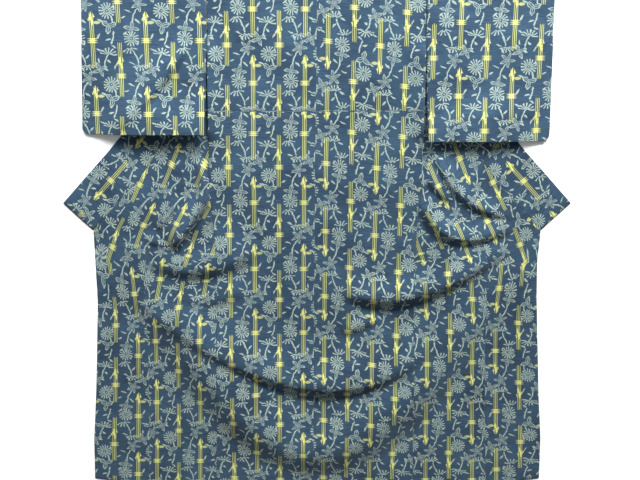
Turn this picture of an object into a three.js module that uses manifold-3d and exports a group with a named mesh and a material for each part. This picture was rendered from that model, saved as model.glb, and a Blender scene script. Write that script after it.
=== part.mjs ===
// A kimono spread flat on a surface with its back up: two back panels, two fronts, two front
// overlaps, one collar strip and two bag sleeves. Millimetres. +X to the wearer's right sleeve,
// +Y towards the collar, +Z up. The origin lies on the surface under the middle of the garment.
import * as THREE from "three";
import Module from "manifold-3d";

// Driving dimensions
const WALL = 1.6; // cloth, measured upwards
const SEAM = 0.3; // space between two pieces at a seam
const LAYER = 2.1; // height at which cloth lies over other cloth
const SHOULDER_Y = 792;
const HEM_Y = -822; // middle of the hem
const HEM_RISE = 58; // how much higher the hem's corners lie than its middle
const HEM_HALF = 692;
const NECK_HALF = 88.3;
const NECK_DEPTH = 25;
const OVERLAP_TIP_Y = 600; // where the overlap runs out to a point under the back
const UNDERARM_Y = 200; // the side seam ends and the front goes under the back
const BACK_LIFT_Y = 105; // the back starts to rise over the fronts
const RELIEF_END_Y = 268; // the folds of the wings have died out above this line
const RELIEF_END_BACK_Y = 188; // and those of the back above this one
const ARMHOLE = 230; // length of sleeve that is sewn to the body, and of the cuff's opening
const SLEEVE_GAP = 0.8; // free space between a sleeve's two walls
const SLEEVE_CURL = 3; // how far a sleeve's bottom edge stands off the cloth under it at its outer end
const BODY_CURL = 15; // how much more it does beside the body
const BODY_CURL_END = 600; // x where that has died out
const BODY_CURL_REACH = 220;
const SLEEVE_CURL_REACH = 130;
const SLEEVE_CORNER = 20;

// Widths at heights from the hem up. Each row: y, then x of the left front edge, left overlap seam,
// left side seam, centre seam, right side seam, right overlap seam and right front edge.
const WIDTHS = [
  { y: -822, edgeL: -693, lapL: -527, sideL: -316, mid: -13, sideR: 299, lapR: 527, edgeR: 692 },
  { y: -668, edgeL: -687, lapL: -518, sideL: -311, mid: -12, sideR: 296, lapR: 518, edgeR: 688 },
  { y: -336, edgeL: -659, lapL: -506, sideL: -300, mid: -10, sideR: 289, lapR: 503, edgeR: 661 },
  { y: -178, edgeL: -647, lapL: -506, sideL: -294, mid: -9, sideR: 286, lapR: 499, edgeR: 648 },
  { y: -65, edgeL: -646, lapL: -502, sideL: -292, mid: -8, sideR: 286, lapR: 500, edgeR: 642 },
  { y: 34, edgeL: -646, lapL: -466, sideL: -299, mid: -7, sideR: 288, lapR: 463, edgeR: 646 },
  { y: 115, edgeL: -571, lapL: -422, sideL: -305, mid: -6, sideR: 292, lapR: 420, edgeR: 571 },
  { y: 191, edgeL: -500, lapL: -384, sideL: -307, mid: -6, sideR: 298, lapR: 384, edgeR: 500 },
  { y: 600, edgeL: -220, lapL: -214, sideL: -298.6, mid: 0, sideR: 298, lapR: 214, edgeR: 220 },
  { y: 792, edgeL: -88.3, lapL: -88, sideL: -298.6, mid: 0, sideR: 298, lapR: 88, edgeR: 88.3 },
];

// The part of each front that lies under the back: x of its inner edge at each height.
const TUCKED = [
  { y: 191, inner: 307 },
  { y: 240, inner: 215 },
  { y: 340, inner: 130 },
  { y: 600, inner: 60 },
  { y: 792, inner: 50 },
];

// The collar from the middle of the back to its end: the seam side and the free side of the strip.
const COLLAR = [
  { seamX: 0, seamY: 767, freeX: 0, freeY: 822 },
  { seamX: 30, seamY: 768.5, freeX: 36, freeY: 822 },
  { seamX: 60, seamY: 773.7, freeX: 72, freeY: 820 },
  { seamX: 80, seamY: 781.4, freeX: 102, freeY: 813 },
  { seamX: 88.3, seamY: 792, freeX: 128, freeY: 799 },
  { seamX: 132, seamY: 728.3, freeX: 176, freeY: 743 },
  { seamX: 220, seamY: 600, freeX: 264, freeY: 640 },
  { seamX: 388, seamY: 354.6, freeX: 460, freeY: 412 },
  { seamX: 500, seamY: 191, freeX: 584, freeY: 269 },
  { seamX: 571, seamY: 115, freeX: 655, freeY: 193 },
  { seamX: 646, seamY: 34, freeX: 727, freeY: 115 },
];

// Each sleeve: x of the sewn side and of its free end at the bottom edge, x of the outer side at the
// shoulder and at the bottom edge, and the height of the bottom edge.
const SLEEVES = [
  { name: "sleeve_left", side: -1, innerTop: 299.6, innerEnd: 311, outerTop: 632, outerEnd: 657, end: 313 },
  { name: "sleeve_right", side: 1, innerTop: 298.3, innerEnd: 310, outerTop: 641, outerEnd: 652, end: 293 },
];

// Folds, each along an arc of three points: start, pull point and end. height is the crest's,
// steep the half width of the side below the arc, and gentle the reach of the side above it.
const FOLDS = [
  { name: "seat swag", x0: -496, y0: -228, xp: 44, yp: -695, x1: 388, y1: -298, height: 14, steep: 27, gentle: 85 },
  { name: "hem swag", x0: -545, y0: -100, xp: -15, yp: -1343, x1: 575, y1: -92, height: 16, steep: 36, gentle: 95 },
  { name: "right hip fold", x0: 60, y0: -160, xp: 283, yp: -261, x1: 560, y1: -25, height: 20, steep: 21, gentle: 55 },
  { name: "left hip fold", x0: -500, y0: -70, xp: -333, yp: -158, x1: -150, y1: -20, height: 14, steep: 24, gentle: 60 },
  { name: "left seat fold", x0: -428, y0: -166, xp: -333, yp: -235, x1: -197, y1: -147, height: 6, steep: 16, gentle: 40 },
  { name: "small seat fold", x0: 70, y0: -285, xp: 128, yp: -274, x1: 190, y1: -240, height: 7, steep: 14, gentle: 30 },
  { name: "left wing fold", x0: -416, y0: -22, xp: -361, yp: 47, x1: -300, y1: 135, height: 15, steep: 13, gentle: 36 },
  { name: "left underarm pleat", x0: -315, y0: 245, xp: -319, yp: 176, x1: -338, y1: 112, height: 8, steep: 12, gentle: 30 },
  { name: "left wing pleat", x0: -460, y0: 29, xp: -423, yp: 65, x1: -380, y1: 132, height: 6, steep: 12, gentle: 30 },
  { name: "left wing crease", x0: -504, y0: 8, xp: -445, yp: -28, x1: -364, y1: -31, height: 5, steep: 12, gentle: 30 },
  { name: "right underarm crease", x0: 321, y0: 279, xp: 371, yp: 88, x1: 562, y1: 65, height: 9, steep: 12, gentle: 32 },
  { name: "right underarm pleat", x0: 292, y0: 208, xp: 323, yp: 153, x1: 381, y1: 109, height: 8, steep: 12, gentle: 30 },
  { name: "right waist fold", x0: 280, y0: 129, xp: 359, yp: -74, x1: 569, y1: 38, height: 16, steep: 13, gentle: 36 },
];
const FOLD_STEPS = 28;

const clamp01 = (t) => Math.min(1, Math.max(0, t));
const smooth = (t) => {
  const c = clamp01(t);
  return c * c * (3 - 2 * c);
};
const mix = (a, b, t) => a + (b - a) * t;

// A column's value at height y, straight between the rows of a table whose y goes up.
function at(table, column, y) {
  let i = 0;
  while (i < table.length - 2 && y > table[i + 1].y) i += 1;
  const low = table[i];
  const high = table[i + 1];
  return mix(low[column], high[column], clamp01((y - low.y) / (high.y - low.y)));
}

// A fold's arc as points, with the share of its height that it has at each.
function foldPoints(fold) {
  return Array.from({ length: FOLD_STEPS + 1 }, (_, i) => {
    const t = i / FOLD_STEPS;
    const s = 1 - t;
    return {
      x: s * s * fold.x0 + 2 * s * t * fold.xp + t * t * fold.x1,
      y: s * s * fold.y0 + 2 * s * t * fold.yp + t * t * fold.y1,
      share: Math.sqrt(smooth(4 * Math.min(t, s))),
    };
  });
}
const ARCS = FOLDS.map((fold) => ({ fold, points: foldPoints(fold) }));

// Height of one fold over (x, y): steep below its arc, and a slow fall to nothing above it.
function foldHeight({ fold, points }, x, y) {
  let best = { gap: Infinity, side: 0, share: 0 };
  for (let i = 0; i < FOLD_STEPS; i += 1) {
    const a = points[i];
    const b = points[i + 1];
    const dx = b.x - a.x;
    const dy = b.y - a.y;
    const t = clamp01(((x - a.x) * dx + (y - a.y) * dy) / (dx * dx + dy * dy));
    const gap = Math.hypot(x - a.x - t * dx, y - a.y - t * dy);
    if (gap >= best.gap) continue;
    const side = dx * (y - a.y) - dy * (x - a.x) >= 0 ? gap : -gap;
    best = { gap, side, share: mix(a.share, b.share, t) };
  }
  const above = best.side - fold.steep;
  const form = above < 0 ? smooth(1 + above / (2 * fold.steep)) : Math.exp(-((above / fold.gentle) ** 2));
  return fold.height * best.share * form;
}

function relief(x, y) {
  const end = mix(RELIEF_END_BACK_Y, RELIEF_END_Y, smooth((Math.abs(x) - 335) / 50));
  const left = 1 - smooth((y - (end - 85)) / 85);
  if (left <= 0) return 0;
  return left * ARCS.reduce((sum, arc) => sum + foldHeight(arc, x, y), 0);
}

const backUnder = (x, y) => relief(x, y) + LAYER * smooth((y - BACK_LIFT_Y) / (UNDERARM_Y - 12 - BACK_LIFT_Y));

// How much of a layer's height a sleeve keeps: all over the collar strip, none beyond its free edge.
function overCollar(x, y) {
  const beyond = (Math.abs(x) - 584) * 0.757 + (y - 269) * 0.653;
  return 1 - smooth((beyond - 25) / 45);
}

function sleeveUnder(sleeve, x, y) {
  const lift = SLEEVE_CURL + BODY_CURL * smooth((BODY_CURL_END - Math.abs(x)) / BODY_CURL_REACH);
  const curl = lift * smooth(1 - (y - sleeve.end) / SLEEVE_CURL_REACH);
  return (LAYER + 0.2) * overCollar(x, y) + curl;
}

// The hem's bow: rows near the hem rise towards its corners.
const bow = (x, y) => y + HEM_RISE * (x / HEM_HALF) ** 2 * (1 - smooth((y - HEM_Y) / 420));
// The neckline's hollow: the topmost rows of the back dip round the neck.
const neckDip = (x) => (Math.abs(x) < NECK_HALF ? NECK_DEPTH * Math.sqrt(1 - (x / NECK_HALF) ** 2) : 0);
const neck = (x, y) => y - (neckDip(x) + SEAM) * smooth((y - 700) / (SHOULDER_Y - 700));

// A closed wall over a grid: place gives the plan point of row i and column j, under the height of
// the wall's lower face there, and the upper face lies wall above it.
function sheet(rows, columns, place, under, wall = WALL) {
  const count = rows * columns;
  const points = [];
  for (const lift of [0, wall]) {
    for (let i = 0; i < rows; i += 1) {
      for (let j = 0; j < columns; j += 1) {
        const [x, y] = place(i, j);
        points.push(x, y, under(x, y) + lift);
      }
    }
  }
  const faces = [];
  const quad = (a, b, c, d) => faces.push(a, b, c, a, c, d);
  for (let i = 0; i < rows - 1; i += 1) {
    for (let j = 0; j < columns - 1; j += 1) {
      const a = i * columns + j;
      quad(a, a + columns, a + columns + 1, a + 1);
      quad(count + a, count + a + 1, count + a + columns + 1, count + a + columns);
    }
  }
  const rim = [];
  for (let j = 0; j < columns - 1; j += 1) rim.push(j);
  for (let i = 0; i < rows - 1; i += 1) rim.push(i * columns + columns - 1);
  for (let j = columns - 1; j > 0; j -= 1) rim.push((rows - 1) * columns + j);
  for (let i = rows - 1; i > 0; i -= 1) rim.push(i * columns);
  rim.forEach((a, k) => {
    const b = rim[(k + 1) % rim.length];
    quad(a, b, count + b, count + a);
  });
  const geometry = new THREE.BufferGeometry();
  geometry.setAttribute("position", new THREE.Float32BufferAttribute(points, 3));
  geometry.setIndex(faces);
  return geometry;
}

const spread = (from, to, cells) => Array.from({ length: cells + 1 }, (_, i) => mix(from, to, i / cells));

const SKIRT_ROWS = [...spread(HEM_Y, -65, 22), ...spread(-65, 34, 3).slice(1), 75, 115, 153, 191];
const BACK_ROWS = [...SKIRT_ROWS, 240, 310, 375, 460, 562, 640, 700, 735, 765, SHOULDER_Y];
const TUCK_ROWS = [...SKIRT_ROWS, 215, 240, 280, 340, 460, OVERLAP_TIP_Y];
const BACK_SHARES = [0, 0.1, 0.2, 0.296, 0.41, 0.53, 0.65, 0.77, 0.89, 1];
const FRONT_SHARES = spread(0, 1, 7);
const LAP_SHARES = spread(0, 1, 5);
const SLEEVE_CELLS = 7;

// A panel between two columns of WIDTHS, or between two functions of height, row by row.
function panel(rows, shares, low, high, under) {
  const place = (i, j) => {
    const y = rows[i];
    const x = mix(low(y) + SEAM / 2, high(y) - SEAM / 2, shares[j]);
    return [x, neck(x, bow(x, y))];
  };
  return sheet(rows.length, shares.length, place, under);
}

const column = (name) => (y) => at(WIDTHS, name, y);
const flipped = (shares) => shares.map((s) => 1 - s).reverse();

const backLeft = () => panel(BACK_ROWS, flipped(BACK_SHARES), column("sideL"), column("mid"), backUnder);
const backRight = () => panel(BACK_ROWS, BACK_SHARES, column("mid"), column("sideR"), backUnder);

// The inner edge of a front: the side seam below the underarm, then the tucked edge.
const innerEdge = (name, side) => (y) =>
  y <= 191 ? at(WIDTHS, name, y) : side * at(TUCKED, "inner", y);

const frontRows = [...TUCK_ROWS, 700, 760, SHOULDER_Y - SEAM];
const frontLeft = () => panel(frontRows, FRONT_SHARES, column("lapL"), innerEdge("sideL", -1), relief);
const frontRight = () => panel(frontRows, FRONT_SHARES, innerEdge("sideR", 1), column("lapR"), relief);
const lapLeft = () => panel(TUCK_ROWS, LAP_SHARES, column("edgeL"), column("lapL"), relief);
const lapRight = () => panel(TUCK_ROWS, LAP_SHARES, column("lapR"), column("edgeR"), relief);

// The collar's stations from the left end round the neck to the right end, halved where long.
function collarStations() {
  const right = [];
  COLLAR.forEach((row, i) => {
    if (i > 0 && Math.hypot(row.seamX - COLLAR[i - 1].seamX, row.seamY - COLLAR[i - 1].seamY) > 60) {
      const last = COLLAR[i - 1];
      const cells = Math.round(Math.hypot(row.seamX - last.seamX, row.seamY - last.seamY) / 45);
      for (let k = 1; k < cells; k += 1) {
        right.push(Object.fromEntries(Object.keys(row).map((c) => [c, mix(last[c], row[c], k / cells)])));
      }
    }
    right.push(row);
  });
  const left = right.slice(1).reverse();
  return [...left.map((r) => ({ ...r, seamX: -r.seamX, freeX: -r.freeX })), ...right];
}

function collar() {
  const stations = collarStations();
  const shares = spread(0, 1, 3);
  const place = (i, j) => {
    const { seamX, seamY, freeX, freeY } = stations[i];
    const width = Math.hypot(freeX - seamX, freeY - seamY);
    const share = mix(SEAM / width, 1, shares[j]);
    return [mix(seamX, freeX, share), mix(seamY, freeY, share)];
  };
  const across = (i, j) => place(i, shares.length - 1 - j);
  return sheet(stations.length, shares.length, across, relief);
}

// A sleeve's outline row by row: a rounded outer corner at the bottom.
function sleeveRows(sleeve) {
  const corner = [0, 2.7, 10, SLEEVE_CORNER].map((d) => sleeve.end + d);
  const rest = spread(sleeve.end + SLEEVE_CORNER, SHOULDER_Y - ARMHOLE, 6).slice(1);
  return [...corner, ...rest, ...spread(SHOULDER_Y - ARMHOLE, SHOULDER_Y, 4).slice(1)];
}

function sleeveEdges(sleeve, y) {
  const t = (SHOULDER_Y - y) / (SHOULDER_Y - sleeve.end);
  const loose = clamp01((SHOULDER_Y - ARMHOLE - y) / (SHOULDER_Y - ARMHOLE - sleeve.end));
  const d = Math.max(0, SLEEVE_CORNER - (y - sleeve.end));
  const cut = SLEEVE_CORNER - Math.sqrt(SLEEVE_CORNER ** 2 - d ** 2);
  const inner = mix(sleeve.innerTop, sleeve.innerEnd, loose);
  return { inner, outer: mix(sleeve.outerTop, sleeve.outerEnd, t) - cut };
}

function sleevePart(sleeve, rows, cells, edges, low, wall) {
  const shares = spread(0, 1, cells);
  const place = (i, j) => {
    const { inner, outer } = edges(rows[i]);
    const share = sleeve.side > 0 ? shares[j] : shares[cells - j];
    return [sleeve.side * mix(inner, outer, share), rows[i]];
  };
  return sheet(rows.length, cells + 1, place, (x, y) => sleeveUnder(sleeve, x, y) + low, wall);
}

// A sleeve is a flat bag: open along the body side and at the cuff, closed at the bottom, at the
// shoulder fold and on the outer side below the cuff.
function sleeve(wasm, row) {
  const rows = sleeveRows(row);
  const bag = sleevePart(row, rows, SLEEVE_CELLS, (y) => sleeveEdges(row, y), 0, 2 * WALL + SLEEVE_GAP);
  const inset = 6;
  const hollowRows = [
    row.end + inset,
    ...rows.filter((y) => y > row.end + SLEEVE_CORNER && y < SHOULDER_Y - ARMHOLE),
    SHOULDER_Y - ARMHOLE,
    SHOULDER_Y - ARMHOLE + 1,
    ...rows.filter((y) => y > SHOULDER_Y - ARMHOLE + 1 && y < SHOULDER_Y - inset),
    SHOULDER_Y - inset,
  ];
  const hollowEdges = (y) => {
    const { inner, outer } = sleeveEdges(row, y);
    return { inner: inner - inset, outer: outer + (y > SHOULDER_Y - ARMHOLE ? inset : -inset) };
  };
  const hollow = sleevePart(row, hollowRows, SLEEVE_CELLS, hollowEdges, WALL, SLEEVE_GAP);
  return backToGeometry(solid(wasm, bag).subtract(solid(wasm, hollow)));
}

function solid(wasm, geometry) {
  return new wasm.Manifold(
    new wasm.Mesh({
      numProp: 3,
      vertProperties: geometry.getAttribute("position").array,
      triVerts: new Uint32Array(geometry.index.array),
    }),
  );
}

function backToGeometry(body) {
  const made = body.getMesh();
  const geometry = new THREE.BufferGeometry();
  geometry.setAttribute("position", new THREE.BufferAttribute(made.vertProperties, 3));
  geometry.setIndex(new THREE.BufferAttribute(made.triVerts, 1));
  return geometry;
}

// Hand-woven silk, indigo with pale threads: matt, with no metal in it.
function piece(name, geometry) {
  geometry.computeVertexNormals();
  const cloth = new THREE.MeshStandardMaterial({ color: 0x3d5f8c, roughness: 0.85, metalness: 0 });
  const mesh = new THREE.Mesh(geometry, cloth);
  mesh.name = name;
  return mesh;
}

const wasm = await Module();
wasm.setup();

const kimono = new THREE.Group();
kimono.add(
  piece("back_left", backLeft()),
  piece("back_right", backRight()),
  piece("front_left", frontLeft()),
  piece("front_right", frontRight()),
  piece("overlap_left", lapLeft()),
  piece("overlap_right", lapRight()),
  piece("collar", collar()),
  ...SLEEVES.map((row) => piece(row.name, sleeve(wasm, row))),
);

export default kimono;
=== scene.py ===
import math

import bpy
import mathutils
import numpy as np
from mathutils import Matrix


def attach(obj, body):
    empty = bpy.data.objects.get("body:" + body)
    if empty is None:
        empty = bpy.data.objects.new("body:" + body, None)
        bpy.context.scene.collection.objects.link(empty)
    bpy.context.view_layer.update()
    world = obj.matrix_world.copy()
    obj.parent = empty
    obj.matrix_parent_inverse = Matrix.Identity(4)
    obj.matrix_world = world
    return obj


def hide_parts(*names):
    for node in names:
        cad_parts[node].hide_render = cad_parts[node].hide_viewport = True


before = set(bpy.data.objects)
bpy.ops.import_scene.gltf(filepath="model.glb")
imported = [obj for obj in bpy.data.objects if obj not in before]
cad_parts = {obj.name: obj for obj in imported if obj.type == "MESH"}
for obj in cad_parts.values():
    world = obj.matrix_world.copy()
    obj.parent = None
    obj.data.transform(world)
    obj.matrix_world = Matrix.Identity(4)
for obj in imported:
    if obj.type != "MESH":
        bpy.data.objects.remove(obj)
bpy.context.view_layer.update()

MM = 0.001

# ---------------------------------------------------------------------------------------------
# Sizes of the garment, in metres: the same plan as its solids
# ---------------------------------------------------------------------------------------------
WALL = 1.3 * MM  # one layer of cloth
REST = 0.3 * MM  # space under cloth that lies on something
LAYER = 2.1 * MM  # from one layer of cloth to the next
SEAM = 0.3 * MM  # space between two pieces at a seam
GRID = 5.0 * MM  # about the size of a mesh face

SHOULDER_Y = 0.792
HEM_Y = -0.822
HEM_RISE = 0.058  # how much higher the hem's corners are than its middle
HEM_HALF = 0.692
HEM_REACH = 0.420  # height over which the hem's bow dies out
NECK_HALF = 0.0883
NECK_DEPTH = 0.025
NECK_FROM_Y = 0.700  # the neckline's dip dies out down to here
TUCK_SEAM_Y = 0.375  # seam of the tuck across the back
ARMHOLE = 0.230  # sewn length, down from the shoulder
LAP_TIP_Y = 0.600  # upper point of the front overlaps
COLLAR_END_Y = 0.034  # lower end of the collar seam
UNDERARM_Y = 0.191  # from here up the fronts are tucked under the back
SKIRT_TOP_Y = -0.065  # below it the fronts widen with the skirt

# The back lies on the fronts: its lift grows from nothing to one layer between these heights.
LIFT_FROM_Y, LIFT_TO_Y = 0.105, 0.188
# Beside the sleeves' open lower part the edge of the back stands up.
EDGE_LIFT = 10 * MM
EDGE_LIFT_WIDTH = 0.045
EDGE_LIFT_Y, EDGE_LIFT_TOP_Y = 0.285, 0.585

# Widths from the hem up: y, then x of left front edge, left overlap seam, left side seam, centre
# seam, right side seam, right overlap seam and right front edge.
WIDTHS = np.array([
    (-0.822, -0.693, -0.527, -0.316, -0.013, 0.299, 0.527, 0.692),
    (-0.668, -0.687, -0.518, -0.311, -0.012, 0.296, 0.518, 0.688),
    (-0.336, -0.659, -0.506, -0.300, -0.010, 0.289, 0.503, 0.661),
    (-0.178, -0.647, -0.506, -0.294, -0.009, 0.286, 0.499, 0.648),
    (-0.065, -0.646, -0.502, -0.292, -0.008, 0.286, 0.500, 0.642),
    (0.034, -0.646, -0.466, -0.299, -0.007, 0.288, 0.463, 0.646),
    (0.115, -0.571, -0.422, -0.305, -0.006, 0.292, 0.420, 0.571),
    (0.191, -0.500, -0.384, -0.307, -0.006, 0.298, 0.384, 0.500),
    (0.600, -0.220, -0.214, -0.2986, 0.000, 0.2986, 0.214, 0.220),
    (0.792, -0.0883, -0.088, -0.2986, 0.000, 0.2986, 0.088, 0.0883),
])
EDGE_L, LAP_L, SIDE_L, MID, SIDE_R, LAP_R, EDGE_R = range(1, 8)

# The part of a front under the back: y and |x| of its inner edge.
TUCKED = np.array([(0.191, 0.307), (0.240, 0.215), (0.340, 0.130), (0.600, 0.060), (0.792, 0.050)])

# Half the collar, from the middle of the back to its end: the seam side, then the free side.
COLLAR = np.array([
    (0.0, 0.767, 0.0, 0.822),
    (0.030, 0.7685, 0.036, 0.822),
    (0.060, 0.7737, 0.072, 0.820),
    (0.080, 0.7814, 0.102, 0.813),
    (0.0883, 0.792, 0.128, 0.799),
    (0.132, 0.7283, 0.176, 0.743),
    (0.220, 0.600, 0.264, 0.640),
    (0.388, 0.3546, 0.460, 0.412),
    (0.500, 0.191, 0.584, 0.269),
    (0.571, 0.115, 0.655, 0.193),
    (0.646, 0.034, 0.727, 0.115),
])

# Sleeves: side, sewn x, free inner x at the bottom, outer x at shoulder and bottom, bottom y.
SLEEVES = {
    "sleeve_left": (-1, 0.2996, 0.314, 0.632, 0.657, 0.313),
    "sleeve_right": (1, 0.2983, 0.311, 0.641, 0.652, 0.293),
}
SLEEVE_THICK = 3.4 * MM
SLEEVE_ROUND = 2 * MM  # depth of the half round along the bottom and the shoulder
SLEEVE_CORNER = 0.020  # radius of the lower outer corner
SLEEVE_COLUMNS = 70  # faces across one layer
SLEEVE_FOLD_FACES = 6  # faces round the outer fold
# The bottom of a sleeve stands up: everywhere a little, and much more towards the body.
SLEEVE_CURL = 3.0 * MM
BODY_CURL = {"sleeve_left": 21.0 * MM, "sleeve_right": 15.0 * MM}
BODY_CURL_EDGE = 0.650  # |x| where the larger lift starts
CURL_REACH = 0.160  # width and height over which the lifts grow and die out

# Folds: three points of an arc (start, pull point, end), crest height, half width of the steep
# side, which rises across the arc from its right to its left, and reach of the gentle side that
# falls from the crest, farther to the left.
FOLDS = np.array([
    (-0.575, -0.165, 0.044, -0.712, 0.388, -0.298, 0.024, 0.025, 0.080),
    (-0.545, -0.100, -0.015, -1.343, 0.575, -0.092, 0.023, 0.050, 0.095),
    (0.060, -0.160, 0.283, -0.261, 0.560, -0.025, 0.022, 0.021, 0.055),
    (-0.500, -0.070, -0.333, -0.158, -0.150, -0.020, 0.015, 0.024, 0.060),
    (-0.428, -0.166, -0.333, -0.235, -0.197, -0.147, 0.007, 0.016, 0.040),
    (0.070, -0.285, 0.128, -0.274, 0.190, -0.240, 0.008, 0.014, 0.030),
    (-0.408, -0.028, -0.356, 0.043, -0.302, 0.137, 0.030, 0.012, 0.034),
    (-0.331, 0.250, -0.334, 0.176, -0.350, 0.105, 0.026, 0.012, 0.024),
    (-0.460, 0.029, -0.423, 0.065, -0.380, 0.132, 0.007, 0.009, 0.026),
    (-0.504, 0.008, -0.445, -0.028, -0.364, -0.031, 0.006, 0.008, 0.026),
    (0.321, 0.279, 0.371, 0.088, 0.562, 0.065, 0.013, 0.009, 0.032),
    (0.292, 0.208, 0.323, 0.153, 0.381, 0.109, 0.009, 0.009, 0.026),
    (0.280, 0.129, 0.359, -0.074, 0.569, 0.038, 0.018, 0.013, 0.036),
])
FOLD_STEPS = 40
# Heights where the folds have died out: on the back, and on the wings, beyond its side seams.
FOLD_END_BACK, FOLD_END_WING = 0.188, 0.290
FOLD_FADE = 0.080
BACK_HALF, WING_STEP = 0.304, 0.030  # |x| where the wings start, and the width of the change

# Slight unevenness of the cloth that lies open, below the sleeves and the upper back.
UNEVEN, UNEVEN_LIFT = 0.45 * MM, 1.2 * MM
OPEN_Y, OPEN_FADE = 0.15, 0.10
SLEEVE_UNEVEN, SLEEVE_UNEVEN_LIFT = 0.8 * MM, 0.6 * MM

# The collar's free edge under a sleeve, as a straight line: a point, and the direction away from
# the collar. A sleeve starts to sink this far beyond it, and has sunk over the fade.
COLLAR_EDGE = ((0.584, 0.269), (0.757, 0.653))
COLLAR_PAST, COLLAR_FADE = 0.025, 0.045

SLEEVE_FOLDS = {
    "sleeve_left": (-0.580, 0.290, -0.440, 0.400, -0.345, 0.560, 0.014, 0.011, 0.045),
    "sleeve_right": (0.330, 0.345, 0.480, 0.352, 0.650, 0.360, 0.007, 0.013, 0.040),
}


def smooth(t):
    """0 below 0, 1 above 1, and an even S between: 3t^2 - 2t^3."""
    t = np.clip(t, 0.0, 1.0)
    return t * t * (3.0 - 2.0 * t)


def column(index, y, soften=0.012):
    """x of a line of WIDTHS at y: straight between rows, and averaged over heights up to soften
    away, which rounds the bends."""
    shifts = np.linspace(-soften, soften, 5)
    return sum(np.interp(y + s, WIDTHS[:, 0], WIDTHS[:, index]) for s in shifts) / len(shifts)


def fold_height(fold, x, y):
    """Height of one fold: its share along the arc times an S on the steep side of the arc and
    exp(-(d/reach)^2) on the gentle side, d being the distance past the crest."""
    x0, y0, xp, yp, x1, y1, height, steep, gentle = fold
    t = np.linspace(0.0, 1.0, FOLD_STEPS + 1)
    ax = (1 - t) ** 2 * x0 + 2 * t * (1 - t) * xp + t * t * x1
    ay = (1 - t) ** 2 * y0 + 2 * t * (1 - t) * yp + t * t * y1
    share = np.sqrt(smooth(4 * np.minimum(t, 1 - t)))
    best = np.full(x.shape, np.inf)
    side = np.zeros(x.shape)
    part = np.zeros(x.shape)
    for i in range(FOLD_STEPS):
        dx, dy = ax[i + 1] - ax[i], ay[i + 1] - ay[i]
        s = np.clip(((x - ax[i]) * dx + (y - ay[i]) * dy) / (dx * dx + dy * dy), 0, 1)
        gap = np.hypot(x - ax[i] - s * dx, y - ay[i] - s * dy)
        sign = np.where(dx * (y - ay[i]) - dy * (x - ax[i]) >= 0, 1.0, -1.0)
        near = gap < best
        best = np.where(near, gap, best)
        side = np.where(near, sign * gap, side)
        part = np.where(near, share[i] + (share[i + 1] - share[i]) * s, part)
    above = side - steep
    form = np.where(above < 0, smooth(1 + above / (2 * steep)), np.exp(-((above / gentle) ** 2)))
    return height * part * form


def waves(x, y, seed, count, shortest, longest, height):
    """Soft unevenness: a sum of count sine waves of random direction, length and phase."""
    rng = np.random.default_rng(seed)
    total = np.zeros(x.shape)
    for _ in range(count):
        turn, phase = rng.uniform(0, math.tau, 2)
        length = rng.uniform(shortest, longest)
        total += np.sin((x * math.cos(turn) + y * math.sin(turn)) * math.tau / length + phase)
    return height * total / math.sqrt(count)


def relief(x, y):
    """All folds of the skirt and wings, dying out under the sleeves and the upper back. Where two
    meet, the root of the sum of their squares keeps the cloth low."""
    wing = smooth((np.abs(x) - BACK_HALF) / WING_STEP)
    end = FOLD_END_BACK + (FOLD_END_WING - FOLD_END_BACK) * wing
    left = 1 - smooth((y - (end - FOLD_FADE)) / FOLD_FADE)
    return left * np.sqrt(sum(fold_height(f, x, y) ** 2 for f in FOLDS))


def lie(x, y):
    """Height of the lowest layer's upper face: wall, folds and a slight unevenness."""
    uneven = UNEVEN_LIFT + waves(x, y, seed=5, count=9, shortest=0.10, longest=0.34, height=UNEVEN)
    open_cloth = 1 - smooth((y - OPEN_Y) / OPEN_FADE)
    return REST + WALL + relief(x, y) + open_cloth * np.maximum(uneven, 0)


def bow(x, y):
    """The hem's bow: rows near the hem rise towards its corners with the square of x."""
    return y + HEM_RISE * (x / HEM_HALF) ** 2 * (1 - smooth((y - HEM_Y) / HEM_REACH))


def neck(x, y):
    """The neckline: the top rows dip by half an ellipse round the neck."""
    dip = NECK_DEPTH * np.sqrt(np.clip(1 - (x / NECK_HALF) ** 2, 0, 1))
    return y - (dip + SEAM) * smooth((y - NECK_FROM_Y) / (SHOULDER_Y - NECK_FROM_Y))


def over_collar(x, y):
    """1 over the collar strip, falling to 0 beyond its free edge."""
    (at_x, at_y), (away_x, away_y) = COLLAR_EDGE
    beyond = (np.abs(x) - at_x) * away_x + (y - at_y) * away_y
    return 1 - smooth((beyond - COLLAR_PAST) / COLLAR_FADE)


def spread(start, end, step):
    """Even places from start to end, about a step apart."""
    return np.linspace(start, end, max(2, int(round(abs(end - start) / step)) + 1))


def rows_between(*stops):
    """Even rows about a GRID apart that hit every stop."""
    parts = [spread(a, b, GRID) for a, b in zip(stops[:-1], stops[1:])]
    return np.concatenate([parts[0]] + [p[1:] for p in parts[1:]])


def shares(width):
    """Places across a panel from 0 to 1, close together near its two seams."""
    near = np.array([0.0, 1.0, 2.2, 4.0]) * MM / width
    middle = spread(near[-1], 1 - near[-1], GRID / width)
    return np.concatenate([near[:-1], middle, 1 - near[:-1][::-1]])


def groove(distance, depth=0.9 * MM, width=3.5 * MM):
    """How far a surface sinks beside a seam or a turned edge: a quarter ellipse."""
    t = np.clip(1 - distance / width, 0, 1)
    return depth * (1 - np.sqrt(1 - t * t))


def turned(distance):
    """The rounding along a hem or the shoulder fold."""
    return groove(distance, 1.0 * MM, 4 * MM)


def folded_in(distance):
    """The rounding along an edge of the collar."""
    return groove(distance, 1.1 * MM, 3 * MM)


def panel(first, second, share):
    """x across a panel between two lines, either of which may be the left one, less its seams."""
    low, high = np.minimum(first, second) + SEAM / 2, np.maximum(first, second) - SEAM / 2
    return low + (high - low) * share


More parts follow.
